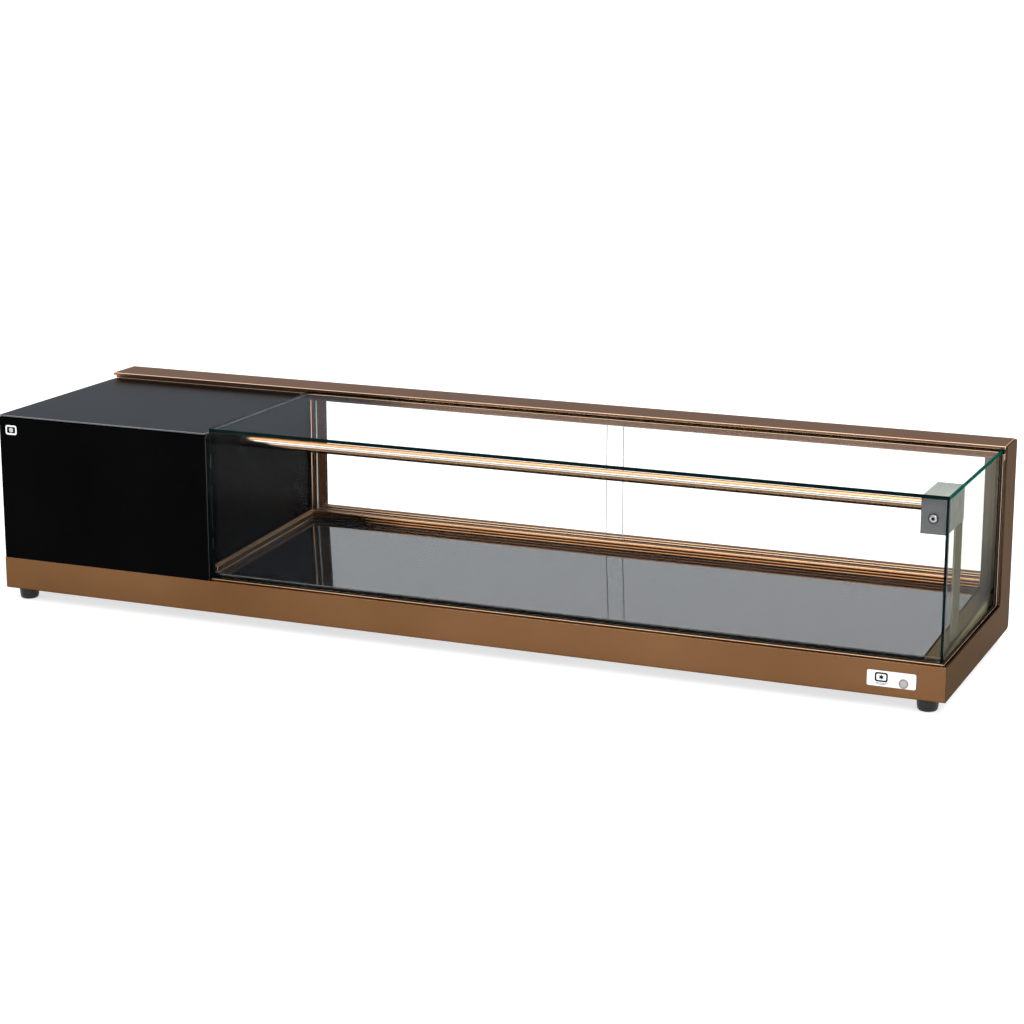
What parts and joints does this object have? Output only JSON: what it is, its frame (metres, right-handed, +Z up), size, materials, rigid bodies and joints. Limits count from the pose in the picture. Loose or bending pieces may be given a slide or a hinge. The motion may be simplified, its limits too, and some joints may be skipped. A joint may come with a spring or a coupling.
{
  "type": "refrigerated countertop display case",
  "caption": "Long glazed countertop cold display case on a bronze base, with a black machine housing at its left end and sliding glass doors at the rear.",
  "frame": {"origin": "on the counter, under the middle of the case's outline", "axes": "+X along the case towards its glazed end, +Y from the customer's side to the doors, +Z up"},
  "size_m": [1.5, 0.4, 0.306],
  "materials": {
    "bronze": "satin bronze anodised",
    "dark_bronze": "dark bronze anodised",
    "black_paint": "semi-gloss black paint",
    "black_gloss": "mirror-gloss black",
    "clear_glass": "clear float glass, polished edges",
    "black_rubber": "matte black",
    "copper": "bright drawn copper",
    "brushed_steel": "fine brushed",
    "chrome": "polished",
    "galvanised_steel": "galvanised",
    "foam": "rigid foam",
    "white_plastic": "smooth white",
    "grey_plastic": "fine satin",
    "black_plastic": "matte black"
  },
  "bodies": {
    "case": {"base_rail_front": "bronze", "base_rail_rear": "bronze", "base_rail_left": "bronze", "side_frame_right": "bronze", "base_pan": "galvanised_steel", "foot_front_left": "black_rubber", "foot_front_right": "black_rubber", "foot_rear_left": "black_rubber", "foot_rear_right": "black_rubber", "nameplate": "white_plastic", "button_switch": "black_plastic", "display_deck": "black_gloss", "deck_trim_right": "dark_bronze", "wall_trim": "bronze", "evaporator_coil": "copper", "base_insulation": "foam", "wall_insulation": "foam", "glass_front": "clear_glass", "glass_end": "clear_glass", "glass_top": "clear_glass", "glazing_bead_front": "bronze", "glazing_bead_end": "bronze", "glazing_gasket_front": "black_rubber", "glazing_gasket_end": "black_rubber", "rear_top_rail": "bronze", "sill": "bronze", "rear_jamb_left": "dark_bronze", "rear_post_right": "dark_bronze", "cooling_tube": "copper", "tube_grommet": "black_rubber", "tube_bracket": "brushed_steel", "bracket_screw": "chrome", "bracket_strap": "dark_bronze", "housing_front_panel": "black_paint", "housing_top_cover": "black_paint", "housing_left_panel": "black_paint", "housing_inner_wall": "black_paint", "housing_rear_panel": "black_paint", "compressor_tray": "galvanised_steel", "compressor": "black_paint", "condenser": "galvanised_steel", "fan_shroud": "galvanised_steel", "fan_motor": "black_paint", "discharge_pipe": "copper", "liquid_pipe": "copper", "feed_pipe": "copper", "tube_pipe": "copper", "suction_pipe": "copper", "filter_drier": "copper", "control_panel": "black_plastic", "thermostat_box": "galvanised_steel", "cord_gland": "black_plastic"},
    "left_door": {"door_left_glass": "clear_glass", "door_left_runner": "black_plastic"},
    "right_door": {"door_right_glass": "clear_glass", "door_right_runner": "black_plastic"},
    "button": {"power_button": "grey_plastic"},
    "fan": {"fan_rotor": "black_plastic"},
    "dial": {"thermostat_dial": "grey_plastic"}
  },
  "joints": [
    {"name": "left_door_slide", "type": "slide", "parent": "case", "child": "left_door", "axis": [1, 0, 0], "range_m": [0, 0.56]},
    {"name": "right_door_slide", "type": "slide", "parent": "case", "child": "right_door", "axis": [1, 0, 0], "range_m": [-0.5, 0]},
    {"name": "power_button_press", "type": "slide", "parent": "case", "child": "button", "axis": [0, 1, 0], "range_m": [0, 0.0012], "stiffness_N_per_m": 600, "springref_m": -0.002},
    {"name": "fan_spin", "type": "hinge", "parent": "case", "child": "fan", "pos_m": [-0.63, 0.127, 0.14], "axis": [0, 1, 0], "continuous": true},
    {"name": "thermostat_turn", "type": "hinge", "parent": "case", "child": "dial", "pos_m": [-0.444, 0.195, 0.211], "axis": [0, -1, 0], "range_deg": [0, 270]}
  ]
}
